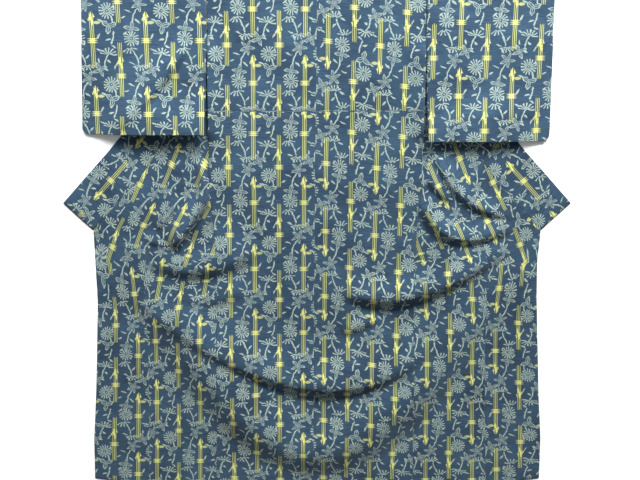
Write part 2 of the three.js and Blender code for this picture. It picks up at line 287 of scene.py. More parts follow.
# ---------------------------------------------------------------------------------------------
# Meshes
# ---------------------------------------------------------------------------------------------
def grid_mesh(name, x, y, z, u, v, keep=None):
    """A sheet over a grid of points, faces up where columns run to +X and rows to +Y, with the
    cloth's cut coordinates u (across the loom) and v (along it) as its UV map."""
    rows, columns = x.shape
    corner = np.arange(rows * columns).reshape(rows, columns)
    faces = np.stack([corner[:-1, :-1], corner[:-1, 1:], corner[1:, 1:], corner[1:, :-1]], axis=-1)
    faces = faces.reshape(-1, 4) if keep is None else faces[keep]
    used, faces = np.unique(faces, return_inverse=True)
    faces = faces.reshape(-1, 4)
    points = np.stack([x, y, z], axis=-1).reshape(-1, 3)[used]
    mesh = bpy.data.meshes.new(name)
    mesh.from_pydata(points, [], faces)
    cut = np.stack([u, v], axis=-1).reshape(-1, 2)[used][faces.ravel()]
    mesh.uv_layers.new(name="cut").data.foreach_set("uv", cut.astype(np.float32).ravel())
    mesh.polygons.foreach_set("use_smooth", np.ones(len(faces), dtype=bool))
    mesh.update()
    made = bpy.data.objects.new(name, mesh)
    bpy.context.collection.objects.link(made)
    return made


def finish_cloth(made, node):
    """Gives a sheet its wall, its finish and its place in the frame."""
    wall = made.modifiers.new("wall", "SOLIDIFY")
    wall.thickness = WALL
    wall.offset = -1.0
    wall.use_even_offset = False
    made.data.materials.append(TSUMUGI)
    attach(made, "root")
    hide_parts(node)
    return made


# ---------------------------------------------------------------------------------------------
# Cut coordinates: where each point of the cloth lies on the loom's width and length
# ---------------------------------------------------------------------------------------------
PITCH = 0.0715  # from stripe to stripe
FIRST_STRIPE = 0.031  # from the centre seam
TILE_U = 2 * PITCH  # the pattern's repeat across the loom
TILE_V = 0.198  # and along the cloth
TUCKED_CLOTH = 0.058  # cloth that the tuck across the back takes up
BACK_GAP_Y = {-1: 0.2165, 1: 0.328}  # height of the first stripe's gap on each half of the back
BACK_SKEW = 0.09  # how much the right half's rows lean, for each metre across
WING_PIVOT = 0.500  # |x| that the wings' grain turns round

SKIRT_Y, SKIRT_FADE = -0.05, 0.20  # where the skirt's shift of the stripes starts, and its fade

# Fronts: width as cut, width as laid above the skirt and u at the side seam, then by side how far
# the skirt's stripes are shifted, and v where the sum of front_length starts.
FRONT_CUT, FRONT_WIDTH, FRONT_U = 0.223, 0.212, 0.148
FRONT_SHIFT = {-1: 0.0255, 1: 0.013}
FRONT_V = {-1: 0.101, 1: -0.032}
# The same for the overlaps, but u at the overlap seam, and one shift for both.
LAP_CUT, LAP_WIDTH, LAP_U = 0.163, 0.155, 0.130
LAP_SHIFT = 0.012
LAP_V = {-1: 0.055, 1: 0.129}
COLLAR_U = 0.118  # at the collar seam

# Sleeves: |x| of the stripe nearest the body and the stripes' pitch as laid, then by side that
# stripe's u, and v at y = 0.
SLEEVE_STRIPE_X, SLEEVE_PITCH = 0.319, 0.0732
SLEEVE_U = {-1: FIRST_STRIPE, 1: FIRST_STRIPE + 7 * PITCH}
SLEEVE_V = {-1: 0.471, 1: 0.3215}

# y, and how far the grain of the fronts has moved towards the neck there.
LEAN = np.array([
    (-0.320, 0.0), (-0.230, -0.006), (-0.132, -0.014), (-0.043, -0.006), (0.005, 0.014),
    (0.065, 0.037), (0.115, 0.065), (0.182, 0.100), (0.225, 0.127), (0.274, 0.150), (0.600, 0.400),
])


def lean_angle(y):
    """The grain's angle from the length of the garment, from the slope of LEAN."""
    step = 0.025
    low = np.interp(y - step, LEAN[:, 0], LEAN[:, 1])
    high = np.interp(y + step, LEAN[:, 0], LEAN[:, 1])
    return np.arctan((high - low) / (2 * step))


def front_length(x, y):
    """v on the fronts: the running sum of cos(lean) up the cloth, plus sin(lean) across it."""
    levels = np.linspace(-0.9, 0.9, 721)
    steps = np.cos(lean_angle(levels)) * (levels[1] - levels[0])
    along = np.interp(y, levels, np.cumsum(steps))
    return along + np.sin(lean_angle(y)) * (WING_PIVOT - np.abs(x))


def back_length(side, from_mid, y):
    """v on the back. The left length of cloth runs upside down, and the tuck takes up some cloth,
    so the pattern jumps there."""
    cloth_y = y + np.where(y > TUCK_SEAM_Y, TUCKED_CLOTH, 0.0)
    along = side * (cloth_y - BACK_GAP_Y[side])
    return along if side < 0 else along + BACK_SKEW * (from_mid - FIRST_STRIPE)


def skirt_share(y):
    """1 on the skirt, falling to 0 towards the wings."""
    return smooth((SKIRT_Y - y) / SKIRT_FADE)


def back(side):
    """Half of the back: from the centre seam to the side seam, hem to shoulder."""
    name = "back_left" if side < 0 else "back_right"
    rows = rows_between(HEM_Y, TUCK_SEAM_Y, SHOULDER_Y)
    s, y = np.meshgrid(shares(0.30), rows)
    middle, seam = column(MID, y), column(SIDE_L if side < 0 else SIDE_R, y)
    x = panel(middle, seam, s)
    from_mid, from_side = np.abs(x - middle), np.abs(x - seam) - SEAM / 2
    place_y = neck(x, bow(x, y))
    z = lie(x, place_y) + LAYER * smooth((y - LIFT_FROM_Y) / (LIFT_TO_Y - LIFT_FROM_Y))
    beside = smooth((EDGE_LIFT_TOP_Y - y) / 0.060) * smooth((y - EDGE_LIFT_Y) / 0.040)
    z += EDGE_LIFT * beside * smooth(1 - from_side / EDGE_LIFT_WIDTH)
    z -= groove(from_mid) + groove(from_side) + turned(SHOULDER_Y - y) + turned(y - HEM_Y)
    z -= groove(np.abs(place_y - TUCK_SEAM_Y), 0.8 * MM, 4 * MM)
    made = grid_mesh(name, x, place_y, z, from_mid, back_length(side, from_mid, y))
    return finish_cloth(made, name)


def inner_edge(index, side, y):
    """Inner edge of a front: its side seam below the underarm, then its edge under the back."""
    tucked = side * np.interp(y, TUCKED[:, 0], TUCKED[:, 1])
    return np.where(y <= UNDERARM_Y, column(index, y), tucked)


def front(side):
    """A front from the side seam to the overlap seam, its top tucked under the back."""
    name = "front_left" if side < 0 else "front_right"
    rows = rows_between(HEM_Y, UNDERARM_Y, SHOULDER_Y - SEAM)
    s, y = np.meshgrid(shares(0.21), rows)
    lap = column(LAP_L if side < 0 else LAP_R, y)
    inner = inner_edge(SIDE_L if side < 0 else SIDE_R, side, y)
    x = panel(lap, inner, s)
    from_lap, from_inner = np.abs(x - lap), np.abs(x - inner)
    place_y = neck(x, bow(x, y))
    z = lie(x, place_y) - groove(from_lap) - groove(from_inner) - turned(y - HEM_Y)
    width = np.where(y < SKIRT_TOP_Y, np.abs(lap - inner), FRONT_WIDTH)
    shift = FRONT_SHIFT[side] * skirt_share(y)
    u = FRONT_U + FRONT_CUT - (from_lap + shift) * FRONT_CUT / width
    v = FRONT_V[side] + side * front_length(x, bow(x, y))
    made = grid_mesh(name, x, place_y, z, u, v)
    return finish_cloth(made, name)


def overlap(side):
    """A front overlap: from the overlap seam to the front edge or, higher up, the collar seam."""
    name = "overlap_left" if side < 0 else "overlap_right"
    rows = rows_between(HEM_Y, COLLAR_END_Y, LAP_TIP_Y)
    s, y = np.meshgrid(shares(0.15), rows)
    lap = column(LAP_L if side < 0 else LAP_R, y)
    edge = column(EDGE_L if side < 0 else EDGE_R, y, 0.004)
    x = panel(lap, edge, s)
    from_lap, from_edge = np.abs(x - lap), np.abs(x - edge)
    place_y = bow(x, y)
    z = lie(x, place_y) - groove(from_lap) - groove(from_edge) - turned(y - HEM_Y)
    width = np.where(y < SKIRT_TOP_Y, np.abs(lap - edge), LAP_WIDTH)
    u = LAP_U + (from_lap + LAP_SHIFT * skirt_share(y)) * LAP_CUT / width
    v = LAP_V[side] + side * front_length(x, place_y)
    made = grid_mesh(name, x, place_y, z, u, v)
    return finish_cloth(made, name)


def collar():
    """The collar strip: stations along a table, each a straight line from seam to free edge."""
    half = np.concatenate([[0.0], np.cumsum(np.hypot(*np.diff(COLLAR[:, :2], axis=0).T))])
    along = spread(0, half[-1], GRID)
    along = np.concatenate([-along[:0:-1], along])
    seam_x, seam_y, free_x, free_y = (np.interp(np.abs(along), half, c) for c in COLLAR.T)
    seam_x, free_x = seam_x * np.sign(along), free_x * np.sign(along)
    across, along_grid = np.meshgrid(shares(0.11)[::-1], along)
    x = seam_x[:, None] + (free_x - seam_x)[:, None] * across
    y = seam_y[:, None] + (free_y - seam_y)[:, None] * across
    width = np.hypot(free_x - seam_x, free_y - seam_y)[:, None]
    z = lie(x, y) - groove(across * width) - folded_in((1 - across) * width)
    z -= folded_in(along[-1] - np.abs(along_grid))
    made = grid_mesh("collar", x, y, z, COLLAR_U + across * width, along_grid)
    return finish_cloth(made, "collar")


def sleeve(name):
    """A sleeve: each row is a flat loop from the inner edge over the top layer, round the outer
    fold and back along the under layer. Bottom and shoulder close in a half round, and the outer
    fold is open along the cuff."""
    side, sewn, free, outer_top, outer_end, end = SLEEVES[name]
    armhole_y = SHOULDER_Y - ARMHOLE
    rounding = np.array([0.0, 0.3, 0.9, 1.7]) * MM
    rows = rows_between(end + SLEEVE_ROUND, armhole_y, SHOULDER_Y - SLEEVE_ROUND)
    rows = np.concatenate([end + rounding, rows, SHOULDER_Y - rounding[::-1]])
    turn = np.linspace(math.pi / 2, -math.pi / 2, SLEEVE_FOLD_FACES + 1)
    flat = np.arange(SLEEVE_COLUMNS) / SLEEVE_COLUMNS
    top, none = np.ones(SLEEVE_COLUMNS), np.zeros(SLEEVE_COLUMNS)
    across = np.concatenate([flat, np.ones(len(turn)), flat[::-1]])
    height = np.concatenate([top, np.sin(turn), -top])
    bulge = np.concatenate([none, np.cos(turn), none])
    s, y = np.meshgrid(across, rows)
    loose = np.clip((armhole_y - y) / (armhole_y - end), 0, 1)
    inner = sewn + (free - sewn) * loose
    drop = (SHOULDER_Y - y) / (SHOULDER_Y - end)
    corner = np.clip(SLEEVE_CORNER - (y - end), 0, SLEEVE_CORNER)
    cut = SLEEVE_CORNER - np.sqrt(SLEEVE_CORNER**2 - corner**2)
    outer = outer_top + (outer_end - outer_top) * drop - cut - SLEEVE_THICK / 2
    nearest = np.minimum(y - end, SHOULDER_Y - y)
    half = SLEEVE_THICK / 2 * np.sqrt(1 - np.clip(1 - nearest / SLEEVE_ROUND, 0, 1) ** 2)
    x = inner + (outer - inner) * s + bulge * half
    curl = SLEEVE_CURL + BODY_CURL[name] * smooth((BODY_CURL_EDGE - x) / CURL_REACH)
    curl = curl * smooth(1 - (y - end) / CURL_REACH)
    curl = np.hypot(curl, fold_height(SLEEVE_FOLDS[name], side * x, y))
    base = REST + (LAYER + 0.5 * MM) * over_collar(x, y) + curl
    uneven = waves(x, y, seed=11 + side, count=7, shortest=0.12, longest=0.4, height=SLEEVE_UNEVEN)
    uneven = np.maximum(0, uneven + SLEEVE_UNEVEN_LIFT) * smooth(nearest / 0.06)
    z = base + SLEEVE_THICK / 2 + half * height + uneven
    u = SLEEVE_U[side] - side * (x - SLEEVE_STRIPE_X) * PITCH / SLEEVE_PITCH
    v = SLEEVE_V[side] - y
    cuff = np.zeros((len(rows) - 1, len(across) - 1), dtype=bool)
    open_rows = (rows[:-1] + rows[1:]) / 2 > armhole_y
    cuff[open_rows, SLEEVE_COLUMNS:SLEEVE_COLUMNS + SLEEVE_FOLD_FACES] = True
    # Columns run towards +X on the upper layer, so the left sleeve's are turned round.
    x, y, z, u, v, cuff = (a[:, ::side] for a in (side * x, y, z, u, v, cuff))
    made = grid_mesh(name, x, y, z, u, v, ~cuff)
    return finish_cloth(made, name)


# ---------------------------------------------------------------------------------------------
# The weave: helpers for node groups
# ---------------------------------------------------------------------------------------------
class Weaver:
    """Places nodes in one node tree and joins them up."""

    def __init__(self, tree):
        self.tree = tree
        self.placed = 0

    def node(self, kind, **settings):
        made = self.tree.nodes.new(kind)
        made.location = (180 * (self.placed // 8), -160 * (self.placed % 8))
        self.placed += 1
        for key, value in settings.items():
            setattr(made, key, value)
        return made

    def join(self, value, socket):
        if isinstance(value, bpy.types.NodeSocket):
            self.tree.links.new(value, socket)
        elif value is not None:
            socket.default_value = value

    def math(self, operation, *values, clamp=False):
        made = self.node("ShaderNodeMath", operation=operation, use_clamp=clamp)
        for value, socket in zip(values, made.inputs):
            self.join(value, socket)
        return made.outputs[0]

    def vector(self, operation, *values, out=0):
        made = self.node("ShaderNodeVectorMath", operation=operation)
        for value, socket in zip(values, made.inputs):
            self.join(value, socket)
        return made.outputs[out]

    def split(self, vector):
        made = self.node("ShaderNodeSeparateXYZ")
        self.join(vector, made.inputs[0])
        return made.outputs

    def combine(self, x, y, z=0.0):
        made = self.node("ShaderNodeCombineXYZ")
        for value, socket in zip((x, y, z), made.inputs):
            self.join(value, socket)
        return made.outputs[0]

    def spin(self, vector, degrees):
        """The vector turned back, so that what is drawn from it is turned by that angle."""
        made = self.node("ShaderNodeVectorRotate", rotation_type="Z_AXIS")
        self.join(vector, made.inputs["Vector"])
        made.inputs["Angle"].default_value = math.radians(-degrees)
        return made.outputs[0]

    def noise(self, vector, scale, detail=2.0, rough=0.5, out=0):
        made = self.node("ShaderNodeTexNoise", noise_dimensions="3D")
        self.join(vector, made.inputs["Vector"])
        made.inputs["Scale"].default_value = scale
        made.inputs["Detail"].default_value = detail
        made.inputs["Roughness"].default_value = rough
        return made.outputs[out]

    def chance(self, number):
        """A random value from 0 to 1 for each whole number."""
        made = self.node("ShaderNodeTexWhiteNoise", noise_dimensions="1D")
        self.join(self.math("FLOOR", number), made.inputs["W"])
        return made.outputs[0]

    def edge(self, distance, softness):
        """1 where distance is above softness / 2, 0 below minus that, and a ramp between."""
        scaled = self.math("DIVIDE", distance, softness)
        return self.math("ADD", scaled, 0.5, clamp=True)

    def mix(self, factor, a, b):
        made = self.node("ShaderNodeMix", data_type="RGBA")
        self.join(factor, made.inputs[0])
        self.join(a, made.inputs[6])
        self.join(b, made.inputs[7])
        return made.outputs[2]

    def group(self, tree, **values):
        made = self.node("ShaderNodeGroup", node_tree=tree)
        for key, value in values.items():
            self.join(value, made.inputs[key.replace("_", " ")])
        return made.outputs


def new_group(name, inputs, outputs):
    """A shader node group with named sockets; returns (tree, weaver, its inputs, its end node)."""
    tree = bpy.data.node_groups.new(name, "ShaderNodeTree")
    for socket, kind, value in inputs:
        made = tree.interface.new_socket(socket, in_out="INPUT", socket_type=kind)
        if value is not None:
            made.default_value = value
    for socket, kind in outputs:
        tree.interface.new_socket(socket, in_out="OUTPUT", socket_type=kind)
    weaver = Weaver(tree)
    start = weaver.node("NodeGroupInput")
    end = weaver.node("NodeGroupOutput")
    return tree, weaver, start.outputs, end.inputs


FLOAT, VECTOR, COLOR = "NodeSocketFloat", "NodeSocketVector", "NodeSocketColor"
# Strokes of the woven pattern, in millimetres.
THREAD = 1.6  # softness of an edge
STROKE_HALF = 1.7  # half width of outlines and stalks
PETAL_HALF, PETAL_GROWTH = 0.50, 0.060  # a petal's half width in the middle, and its growth with r
DAISY_HUB, DAISY_EYE = 4.6, 1.9
FAN_HUB, FAN_SQUASH, FAN_OPENING = 6.5, 1.25, 0.18
CUP_RADIUS, CUP_HALF = 6.0, 1.4
LOBE_NOTCH, LOBE_POWER = 0.92, 0.55


def polar(w, vector):
    """Distance from the middle, angle, x and y of a point."""
    x, y, _ = w.split(vector)
    return w.vector("LENGTH", vector, out=1), w.math("ARCTAN2", y, x), x, y


def petal_strokes(w, r, angle, petals, radius, hub):
    """Strokes that leave the middle like spokes: the angle is folded into one petal, and its
    distance from the petal's axis is compared with a half width that grows outwards."""
    turn = w.math("MULTIPLY", angle, w.math("DIVIDE", petals, math.tau))
    folded = w.math("SUBTRACT", w.math("FRACT", w.math("ADD", turn, 50.5)), 0.5)
    reach = w.math("DIVIDE", w.math("MULTIPLY", r, math.tau), petals)
    off_axis = w.math("MULTIPLY", w.math("ABSOLUTE", folded), reach)
    half = w.math("MULTIPLY_ADD", r, PETAL_GROWTH, PETAL_HALF)
    stroke = w.edge(w.math("SUBTRACT", half, off_axis), THREAD)
    tip = w.edge(w.math("SUBTRACT", radius, r), THREAD)
    root = w.edge(w.math("SUBTRACT", r, hub), THREAD)
    return w.math("MULTIPLY", stroke, w.math("MULTIPLY", tip, root))


def make_daisy():
    """A chrysanthemum seen from the front: thin petals round an eye."""
    inputs = [("Vector", VECTOR, None), ("Radius", FLOAT, 21.0), ("Petals", FLOAT, 15.0)]
    tree, w, start, end = new_group("chrysanthemum", inputs, [("Mask", FLOAT)])
    r, angle, _, _ = polar(w, start["Vector"])
    petals = petal_strokes(w, r, angle, start["Petals"], start["Radius"], DAISY_HUB)
    eye = w.edge(w.math("SUBTRACT", DAISY_EYE, r), THREAD)
    w.join(w.math("MAXIMUM", petals, eye), end["Mask"])
    return tree


def make_fan():
    """A chrysanthemum seen from the side: petals in a fan over a small cup, opening along +Y."""
    inputs = [("Vector", VECTOR, None), ("Radius", FLOAT, 21.0), ("Petals", FLOAT, 18.0)]
    tree, w, start, end = new_group("side chrysanthemum", inputs, [("Mask", FLOAT)])
    squashed = w.vector("MULTIPLY", start["Vector"], (1.0, FAN_SQUASH, 0.0))
    r, angle, x, y = polar(w, squashed)
    petals = petal_strokes(w, r, angle, start["Petals"], start["Radius"], FAN_HUB)
    lowest = w.math("MULTIPLY", w.math("ABSOLUTE", x), FAN_OPENING)
    upper = w.edge(w.math("SUBTRACT", y, lowest), THREAD)
    off_cup = w.math("ABSOLUTE", w.math("SUBTRACT", r, CUP_RADIUS))
    cup = w.edge(w.math("SUBTRACT", CUP_HALF, off_cup), THREAD)
    both = w.math("MAXIMUM", petals, cup)
    w.join(w.math("MULTIPLY", both, upper), end["Mask"])
    return tree


def make_lobes():
    """Pointed leaves or petals in outline: a line along the inside of the curve
    r = R (1 - notch |sin(n a / 2)|)^power, which has n lobes, and a vein along each."""
    inputs = [("Vector", VECTOR, None), ("Radius", FLOAT, 14.0), ("Lobes", FLOAT, 3.0)]
    tree, w, start, end = new_group("lobes", inputs, [("Mask", FLOAT)])
    r, angle, _, _ = polar(w, start["Vector"])
    turns = w.math("MULTIPLY", w.math("MULTIPLY", angle, 0.5), start["Lobes"])
    swing = w.math("ABSOLUTE", w.math("SINE", turns))
    wave = w.math("MULTIPLY_ADD", swing, -LOBE_NOTCH, 1.0)
    line = w.math("MULTIPLY", w.math("POWER", wave, LOBE_POWER), start["Radius"])
    off = w.math("ABSOLUTE", w.math("SUBTRACT", r, w.math("SUBTRACT", line, 1.2)))
    outline = w.edge(w.math("SUBTRACT", STROKE_HALF, off), THREAD)
    off_vein = w.math("MULTIPLY", w.math("MULTIPLY", r, swing), 0.5)
    vein = w.edge(w.math("SUBTRACT", 0.8, off_vein), THREAD)
    vein_end = w.math("MULTIPLY", start["Radius"], 0.75)
    vein = w.math("MULTIPLY", vein, w.edge(w.math("SUBTRACT", vein_end, r), THREAD))
    w.join(w.math("MAXIMUM", outline, w.math("MULTIPLY", vein, 0.8)), end["Mask"])
    return tree


def make_leaf():
    """A small pointed leaf along X: |y| less than a half width that falls with the square of x."""
    inputs = [("Vector", VECTOR, None), ("Length", FLOAT, 6.0), ("Width", FLOAT, 2.2)]
    tree, w, start, end = new_group("leaf", inputs, [("Mask", FLOAT)])
    x, y, _ = w.split(start["Vector"])
    t = w.math("DIVIDE", x, start["Length"])
    half = w.math("MULTIPLY", w.math("SUBTRACT", 1.0, w.math("MULTIPLY", t, t)), start["Width"])
    w.join(w.edge(w.math("SUBTRACT", half, w.math("ABSOLUTE", y)), THREAD), end["Mask"])
    return tree


def make_stem():
    """A bent stalk along X: a stroke round y = bend (x / length)^2, ending at plus and minus length."""
    inputs = [("Vector", VECTOR, None), ("Length", FLOAT, 15.0), ("Bend", FLOAT, 4.0)]
    tree, w, start, end = new_group("stalk", inputs, [("Mask", FLOAT)])
    x, y, _ = w.split(start["Vector"])
    t = w.math("DIVIDE", x, start["Length"])
    line = w.math("MULTIPLY", w.math("MULTIPLY", t, t), start["Bend"])
    off = w.math("ABSOLUTE", w.math("SUBTRACT", y, line))
    stroke = w.edge(w.math("SUBTRACT", STROKE_HALF, off), THREAD)
    ends = w.edge(w.math("SUBTRACT", start["Length"], w.math("ABSOLUTE", x)), THREAD)
    w.join(w.math("MULTIPLY", stroke, ends), end["Mask"])
    return tree


# The pattern's chart, in millimetres on a tile of two stripes: kind, place across from the
# first stripe, place along from the middle of its gap, turn in degrees, size and a second size
# (petals, width, bend or lobes).
CHART = [
    ("fan", 18, -35, 0, 22, 13),
    ("leaf", 40, -37, -25, 9, 2.0),
    ("stem", 27, -53, -67, 17, 2),
    ("leaf", 16, -55, 50, 8, 2.2),
    ("fan", 46, -80, 12, 22, 12),
    ("daisy", 39, -103, 5, 20.5, 14),
    ("lobes", 38, -131, -10, 21, 4),
    ("stem", 30, -167, -112, 20, -4),
    ("leaf", 45, -177, -24, 10, 1.8),
    ("lobes", 16, 3, 100, 22, 5),
    ("leaf", 30, -22, 120, 8, 2.4),
    ("leaf", 22, -92, 75, 7, 2.0),
    ("leaf", 55, -118, 40, 8, 2.2),
    ("leaf", 21, -150, -40, 9, 2.4),
    ("leaf", 58, -160, 20, 7, 2.0),
    ("leaf", 130, -45, 100, 7, 2.2),
    ("leaf", 87, -82, -30, 8, 2.2),
    ("leaf", 127, -110, 60, 9, 2.4),
    ("leaf", 120, -152, -20, 8, 2.4),
    ("leaf", 82, -188, 100, 7, 2.0),
    ("daisy", 100, -177, 0, 21.5, 15),
    ("stem", 111, -47, -110, 18, -3),
    ("lobes", 128, -20, 24, 21, 4),
    ("leaf", 112, -21, 150, 6, 2.6),
    ("leaf", 102, -42, -35, 6, 2.8),
    ("leaf", 86, -28, 65, 8, 1.8),
    ("fan", 103, -61, 180, 23, 13),
    ("leaf", 127, -73, -25, 9, 1.8),
    ("stem", 89, -60, -12, 9, -2),
    ("stem", 88, -105, -105, 17, 2),
    ("leaf", 101, -101, 15, 8, 2.3),
    ("lobes", 98, -137, 80, 22, 3),
    ("stem", 88, -155, -77, 9, 1),
]
SIZE_NAMES = {
    "daisy": ("Radius", "Petals"),
    "fan": ("Radius", "Petals"),
    "lobes": ("Radius", "Lobes"),
    "leaf": ("Length", "Width"),
    "stem": ("Length", "Bend"),
}


def place_motif(w, tile, motif, row):
    """One motif of the chart: the tile wraps round its middle, then turns."""
    kind, across, along, turn, first, second = row
    off = w.vector("SUBTRACT", tile, (across, along, 0.0))
    half = (TILE_U / MM / 2, TILE_V / MM / 2, 1.0)
    wrapped = w.vector("WRAP", off, half, tuple(-h for h in half))
    sizes = dict(zip(SIZE_NAMES[kind], (first, second)))
    return w.group(motif[kind], Vector=w.spin(wrapped, turn), **sizes)["Mask"]


def largest(w, masks):
    """The largest of several masks, joined in pairs."""
    while len(masks) > 1:
        pairs = [w.math("MAXIMUM", a, b) for a, b in zip(masks[::2], masks[1::2])]
        masks = pairs + masks[len(pairs) * 2:]
    return masks[0]


def make_flowers(motif):
    """The pale part of the pattern: all motifs of the chart."""
    tree, w, start, end = new_group("flowers and leaves", [("Tile", VECTOR, None)], [("Mask", FLOAT)])
    w.join(largest(w, [place_motif(w, start["Tile"], motif, row) for row in CHART]), end["Mask"])
    return tree


# A bamboo stripe, in millimetres: places along are counted down from the middle of its gap.
STALK_LINE = 4.6  # from the middle line to each outer line
STALK_HALF = 5.8
GAP_HALF = 22.5
STALK_END = 173.5
RAGGED = 5.0  # how unevenly the stalk's threads end
RUNG_PITCH = 5.0  # from one cross line of a knot to the next
KNOT_HALF, RUNG_HALF = 6.8, 10.5  # half the height of the knot's lines together, and of their length
CORE_HALF = (6.4, 5.6)  # a knot's filled middle, across and along
BROAD_LEAF = (-13.5, 9.0, 10.0, 4.4)  # as a row of TUFT, without a turn
BROAD_LEAF_SHADE = 0.62
TUFT_WANDER = 9.0  # how far the tuft's leaves stray, for each unit of noise
# The tuft's leaves: place across and along from its middle, turn, length and width.
TUFT = [
    (-1.6, 7, 94, 12, 2.3),
    (1.8, -7, 85, 13, 2.5),
    (7.0, -1, 72, 7, 1.5),
    (-6.0, -9, 106, 6, 1.3),
]


def make_bamboo(motif):
    """A bamboo stripe along Y: three fine lines with a gap, a knot of three short cross lines, a
    tuft and on some stripes a broad leaf to the left. Across is the distance from the stripe's
    axis, Along that from its gap's middle, and Knot and Tuft say how far below it those are."""
    inputs = [("Across", FLOAT, 0.0), ("Along", FLOAT, 0.0), ("Ragged", FLOAT, 0.5),
              ("Knot", FLOAT, 90.0), ("Tuft", FLOAT, 130.0), ("Leaf", FLOAT, 0.0)]
    outputs = [("Line", FLOAT), ("Bright", FLOAT), ("Ground", FLOAT)]
    tree, w, start, end = new_group("bamboo stripe", inputs, outputs)
    across, along = start["Across"], start["Along"]
    off = w.math("ABSOLUTE", across)
    middle_line = w.edge(w.math("SUBTRACT", 1.0, off), 0.8)
    off_outer = w.math("ABSOLUTE", w.math("SUBTRACT", off, STALK_LINE))
    lines = w.math("MAXIMUM", middle_line, w.edge(w.math("SUBTRACT", 0.75, off_outer), 0.6))
    ground = w.edge(w.math("SUBTRACT", STALK_HALF, off), 2.0)
    ragged = w.math("MULTIPLY", start["Ragged"], RAGGED)
    down = w.math("MULTIPLY", along, -1.0)
    below_gap = w.edge(w.math("SUBTRACT", down, w.math("ADD", ragged, GAP_HALF)), 3.0)
    above_end = w.edge(w.math("ADD", along, w.math("SUBTRACT", STALK_END, ragged)), 3.0)
    stalk = w.math("MULTIPLY", below_gap, above_end)
    away = w.math("ADD", along, start["Knot"])
    height = w.math("ABSOLUTE", away)
    ripple = w.edge(w.math("COSINE", w.math("MULTIPLY", away, math.tau / RUNG_PITCH)), THREAD)
    rungs = w.math("MULTIPLY", ripple, w.edge(w.math("SUBTRACT", KNOT_HALF, height), THREAD))
    rungs = w.math("MULTIPLY", rungs, w.edge(w.math("SUBTRACT", RUNG_HALF, off), 9.0))
    core_across = w.edge(w.math("SUBTRACT", CORE_HALF[0], off), 3.0)
    core_along = w.edge(w.math("SUBTRACT", CORE_HALF[1], height), 3.0)
    core = w.math("MULTIPLY", core_across, core_along)
    bright = [rungs, w.math("MULTIPLY", core, 0.6)]
    wander = w.noise(w.combine(across, along), 0.25, 1.0)
    bent = w.math("MULTIPLY_ADD", w.math("SUBTRACT", wander, 0.5), TUFT_WANDER, across)
    tuft = w.combine(bent, w.math("ADD", along, start["Tuft"]))
    for x, y, turn, length, width in TUFT:
        place = w.spin(w.vector("SUBTRACT", tuft, (x, y, 0.0)), turn)
        bright.append(w.group(motif["leaf"], Vector=place, Length=length, Width=width)["Mask"])
    x, y, length, width = BROAD_LEAF
    place = w.vector("SUBTRACT", tuft, (x, y, 0.0))
    broad = w.group(motif["leaf"], Vector=place, Length=length, Width=width)["Mask"]
    bright.append(w.math("MULTIPLY", w.math("MULTIPLY", broad, start["Leaf"]), BROAD_LEAF_SHADE))
    w.join(w.math("MULTIPLY", lines, stalk), end["Line"])
    w.join(largest(w, bright), end["Bright"])
    w.join(w.math("MULTIPLY", ground, stalk), end["Ground"])
    return tree


def make_slubs():
    """Uneven hand-spun threads: long streaks along the weft and shorter ones along the warp."""
    outputs = [("Weft", FLOAT), ("Warp", FLOAT), ("Cloud", FLOAT)]
    tree, w, start, end = new_group("hand-spun threads", [("Cut", VECTOR, None)], outputs)
    weft = w.noise(w.vector("MULTIPLY", start["Cut"], (22.0, 760.0, 1.0)), 1.0, 2.0, 0.6)
    warp = w.noise(w.vector("MULTIPLY", start["Cut"], (900.0, 18.0, 1.0)), 1.0, 1.0)
    cloud = w.noise(w.vector("MULTIPLY", start["Cut"], (7.0, 9.0, 1.0)), 1.0, 2.0)
    w.join(weft, end["Weft"])
    w.join(warp, end["Warp"])
    w.join(cloud, end["Cloud"])
    return tree


# Colours of the dyed threads, as linear red, green and blue.
INDIGO_DEEP = (0.0040, 0.0155, 0.0370, 1.0)
INDIGO_LIGHT = (0.027, 0.067, 0.113, 1.0)
PALE = (0.255, 0.325, 0.285, 1.0)
OLIVE = (0.030, 0.048, 0.024, 1.0)
YELLOW = (0.440, 0.460, 0.140, 1.0)
BRIGHT = (0.490, 0.505, 0.170, 1.0)

WAVER = 6.0  # how far the flowers' outlines stray, in millimetres for each unit of noise
PICKS = 1300.0  # weft threads that slip on their own, for each metre of the cloth's length
SLIP = 0.4  # how far they slip, in millimetres
RIBS_ACROSS, RIBS_ALONG = 700, 600  # ups and downs of the plain weave for each metre

# The two stripes of a tile: middle across and along, how far below it the knot and the tuft are,
# and 1 where the tuft has a broad leaf.
STRIPES = [(0.0, 0.0, 98.0, 155.0, 1.0), (PITCH / MM, -120.0, 81.0, 116.0, 0.0)]
STRIPE_TOP = 8.0  # where a stripe's repeat starts, above the middle of its gap


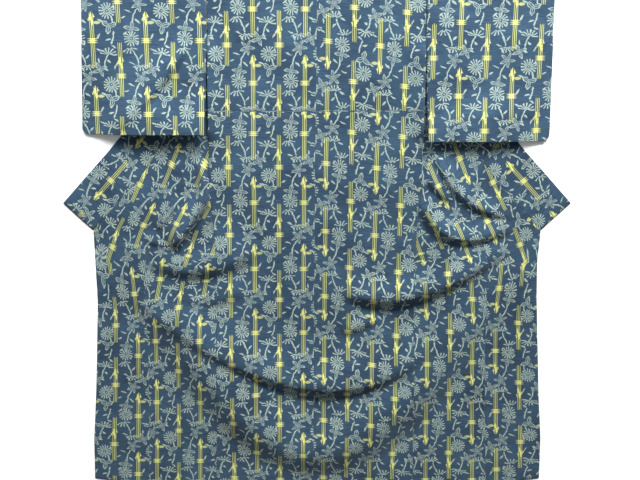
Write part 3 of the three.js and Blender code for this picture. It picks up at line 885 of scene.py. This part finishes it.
def make_kasuri():
    """The whole cloth: bamboo stripes and flowers in pale thread on indigo, edges feathered along
    the weft, and the threads' height."""
    motif = {
        "daisy": make_daisy(), "fan": make_fan(), "lobes": make_lobes(),
        "leaf": make_leaf(), "stem": make_stem(),
    }
    outputs = [("Color", COLOR), ("Height", FLOAT), ("Rough", FLOAT)]
    tree, w, start, end = new_group("kasuri cloth", [("Cut", VECTOR, None)], outputs)
    slubs = w.group(make_slubs(), Cut=start["Cut"])
    u, v, _ = w.split(start["Cut"])
    shot = w.chance(w.math("MULTIPLY", v, PICKS))
    slip = w.math("MULTIPLY", w.math("SUBTRACT", shot, 0.5), SLIP)
    across = w.math("ADD", w.math("MULTIPLY_ADD", u, 1000.0, -FIRST_STRIPE / MM), slip)
    tile = w.combine(across, w.math("MULTIPLY", v, 1000.0))
    waver = w.noise(w.vector("MULTIPLY", start["Cut"], (120.0, 120.0, 1.0)), 1.0, 1.0, out="Color")
    bend = w.vector("MULTIPLY", w.vector("SUBTRACT", waver, (0.5, 0.5, 0.5)), (WAVER, WAVER, WAVER))
    flowers = w.group(make_flowers(motif), Tile=w.vector("ADD", tile, bend))["Mask"]
    bamboo = make_bamboo(motif)
    thread_end = w.chance(w.math("MULTIPLY", across, 0.8))
    half_u = TILE_U / MM / 2
    highest, lowest = (half_u, STRIPE_TOP, 1.0), (-half_u, STRIPE_TOP - TILE_V / MM, -1.0)
    stripes = []
    for middle_u, middle_v, knot, tuft, leaf in STRIPES:
        off = w.vector("SUBTRACT", tile, (middle_u, middle_v, 0.0))
        x, y, _ = w.split(w.vector("WRAP", off, highest, lowest))
        stripes.append(w.group(bamboo, Across=x, Along=y, Ragged=thread_end,
                               Knot=knot, Tuft=tuft, Leaf=leaf))
    lines, bright, olive = (
        largest(w, [stripe[part] for stripe in stripes]) for part in ("Line", "Bright", "Ground")
    )
    cloudy = w.math("MULTIPLY_ADD", slubs["Cloud"], 1.3, -0.15)
    streaks = w.math("SUBTRACT", slubs["Weft"], 0.5)
    light_share = w.math("MULTIPLY_ADD", streaks, 2.2, cloudy, clamp=True)
    ground = w.mix(light_share, INDIGO_DEEP, INDIGO_LIGHT)
    uneven = w.math("MULTIPLY_ADD", slubs["Warp"], 0.5, 0.72, clamp=True)
    color = w.mix(w.math("MULTIPLY", olive, 0.55), ground, OLIVE)
    color = w.mix(w.math("MULTIPLY", flowers, uneven), color, PALE)
    faded = w.math("MULTIPLY_ADD", slubs["Cloud"], 1.0, 0.30, clamp=True)
    color = w.mix(w.math("MULTIPLY", lines, faded), color, YELLOW)
    color = w.mix(w.math("MULTIPLY", bright, uneven), color, BRIGHT)
    w.join(color, end["Color"])
    over = w.math("SINE", w.math("MULTIPLY", u, math.tau * RIBS_ACROSS))
    under = w.math("SINE", w.math("MULTIPLY", v, math.tau * RIBS_ALONG))
    over_under = w.math("MULTIPLY", over, under)
    thread = w.math("MULTIPLY_ADD", over_under, 0.25, w.math("MULTIPLY", slubs["Weft"], 1.2))
    w.join(w.math("MULTIPLY_ADD", slubs["Warp"], 0.4, thread), end["Height"])
    w.join(w.math("MULTIPLY_ADD", slubs["Weft"], 0.2, 0.72), end["Rough"])
    return tree


def tsumugi():
    """Tsumugi silk: matt, with a faint bloom."""
    made = bpy.data.materials.new("tsumugi silk")
    made.use_nodes = True
    tree = made.node_tree
    tree.nodes.clear()
    w = Weaver(tree)
    cut = w.node("ShaderNodeUVMap", uv_map="cut")
    cloth = w.group(make_kasuri(), Cut=cut.outputs[0])
    surface = w.node("ShaderNodeBsdfPrincipled")
    surface.inputs["Sheen Weight"].default_value = 0.12
    surface.inputs["Sheen Roughness"].default_value = 0.5
    surface.inputs["Specular IOR Level"].default_value = 0.25
    w.join(cloth["Color"], surface.inputs["Base Color"])
    w.join(cloth["Rough"], surface.inputs["Roughness"])
    bump = w.node("ShaderNodeBump")
    bump.inputs["Strength"].default_value = 0.5
    bump.inputs["Distance"].default_value = 0.35 * MM
    w.join(cloth["Height"], bump.inputs["Height"])
    w.join(bump.outputs[0], surface.inputs["Normal"])
    end = w.node("ShaderNodeOutputMaterial")
    w.join(surface.outputs[0], end.inputs[0])
    return made


# ---------------------------------------------------------------------------------------------
# Camera, floor and light
# ---------------------------------------------------------------------------------------------
VIEW_TILT = math.radians(15)
VIEW_DISTANCE = 2.55
VIEW_CENTRE = (0.0086, 0.005)  # where the view's middle line meets the floor
SENSOR = 36.0  # millimetres, as is the lens
LENS = 1.375 * SENSOR
FLOOR_HALF = 14.0
LAMP_DEPTH = 0.6


def camera():
    """The view: from above the collar's side, looking down at the middle of the garment."""
    lens = bpy.data.cameras.new("camera")
    lens.lens = LENS
    lens.sensor_width = SENSOR
    made = bpy.data.objects.new("camera", lens)
    made.location = (
        VIEW_CENTRE[0],
        VIEW_CENTRE[1] + VIEW_DISTANCE * math.sin(VIEW_TILT),
        VIEW_DISTANCE * math.cos(VIEW_TILT),
    )
    made.rotation_euler = (-VIEW_TILT, 0.0, 0.0)
    bpy.context.collection.objects.link(made)
    bpy.context.scene.camera = made


def floor():
    """The matt white surface that the garment lies on."""
    mesh = bpy.data.meshes.new("floor")
    corners = [(x * FLOOR_HALF, y * FLOOR_HALF, 0.0) for x, y in ((-1, -1), (1, -1), (1, 1), (-1, 1))]
    mesh.from_pydata(corners, [], [(0, 1, 2, 3)])
    made = bpy.data.objects.new("floor", mesh)
    bpy.context.collection.objects.link(made)
    paint = bpy.data.materials.new("pale floor")
    paint.use_nodes = True
    coat = paint.node_tree.nodes["Principled BSDF"]
    coat.inputs["Base Color"].default_value = (0.95, 0.95, 0.95, 1.0)
    coat.inputs["Roughness"].default_value = 0.8
    mesh.materials.append(paint)


# Name, watts, width, place and aim of each soft lamp.
LAMPS = (
    ("window", 44.0, 2.4, (0.40, 1.95, 1.15), (0.0, 0.1, 0.0)),
    ("left lamp", 21.0, 0.8, (-0.80, 1.45, 0.60), (-0.50, 0.30, 0.0)),
    ("right lamp", 17.0, 0.8, (0.85, 1.40, 0.62), (0.50, 0.30, 0.0)),
)


def lights():
    """Soft daylight from beyond the collar, low over the cloth and fading towards the hem, and an
    even white fill."""
    sun = bpy.data.lights.new("daylight", "SUN")
    sun.energy = 5.6
    sun.color = (1.0, 0.97, 0.91)
    sun.angle = math.radians(11)
    made = bpy.data.objects.new("daylight", sun)
    made.rotation_euler = (math.radians(-66), 0.0, math.radians(-16))
    bpy.context.collection.objects.link(made)
    for name, watts, width, at, aim_at in LAMPS:
        lamp = bpy.data.lights.new(name, "AREA")
        lamp.energy = watts
        lamp.color = (0.94, 0.965, 1.0)
        lamp.shape = "RECTANGLE"
        lamp.size = width
        lamp.size_y = LAMP_DEPTH
        made = bpy.data.objects.new(name, lamp)
        made.location = at
        aim = mathutils.Vector(aim_at) - made.location
        made.rotation_euler = aim.to_track_quat("-Z", "Y").to_euler()
        bpy.context.collection.objects.link(made)
    world = bpy.data.worlds.new("studio")
    world.use_nodes = True
    fill = world.node_tree.nodes["Background"]
    fill.inputs["Color"].default_value = (1.0, 1.0, 1.0, 1.0)
    fill.inputs["Strength"].default_value = 0.31
    bpy.context.scene.world = world
    bpy.context.scene.view_settings.view_transform = "Standard"


camera()
floor()
lights()
TSUMUGI = tsumugi()
for side in (-1, 1):
    back(side)
    front(side)
    overlap(side)
collar()
for name in SLEEVES:
    sleeve(name)
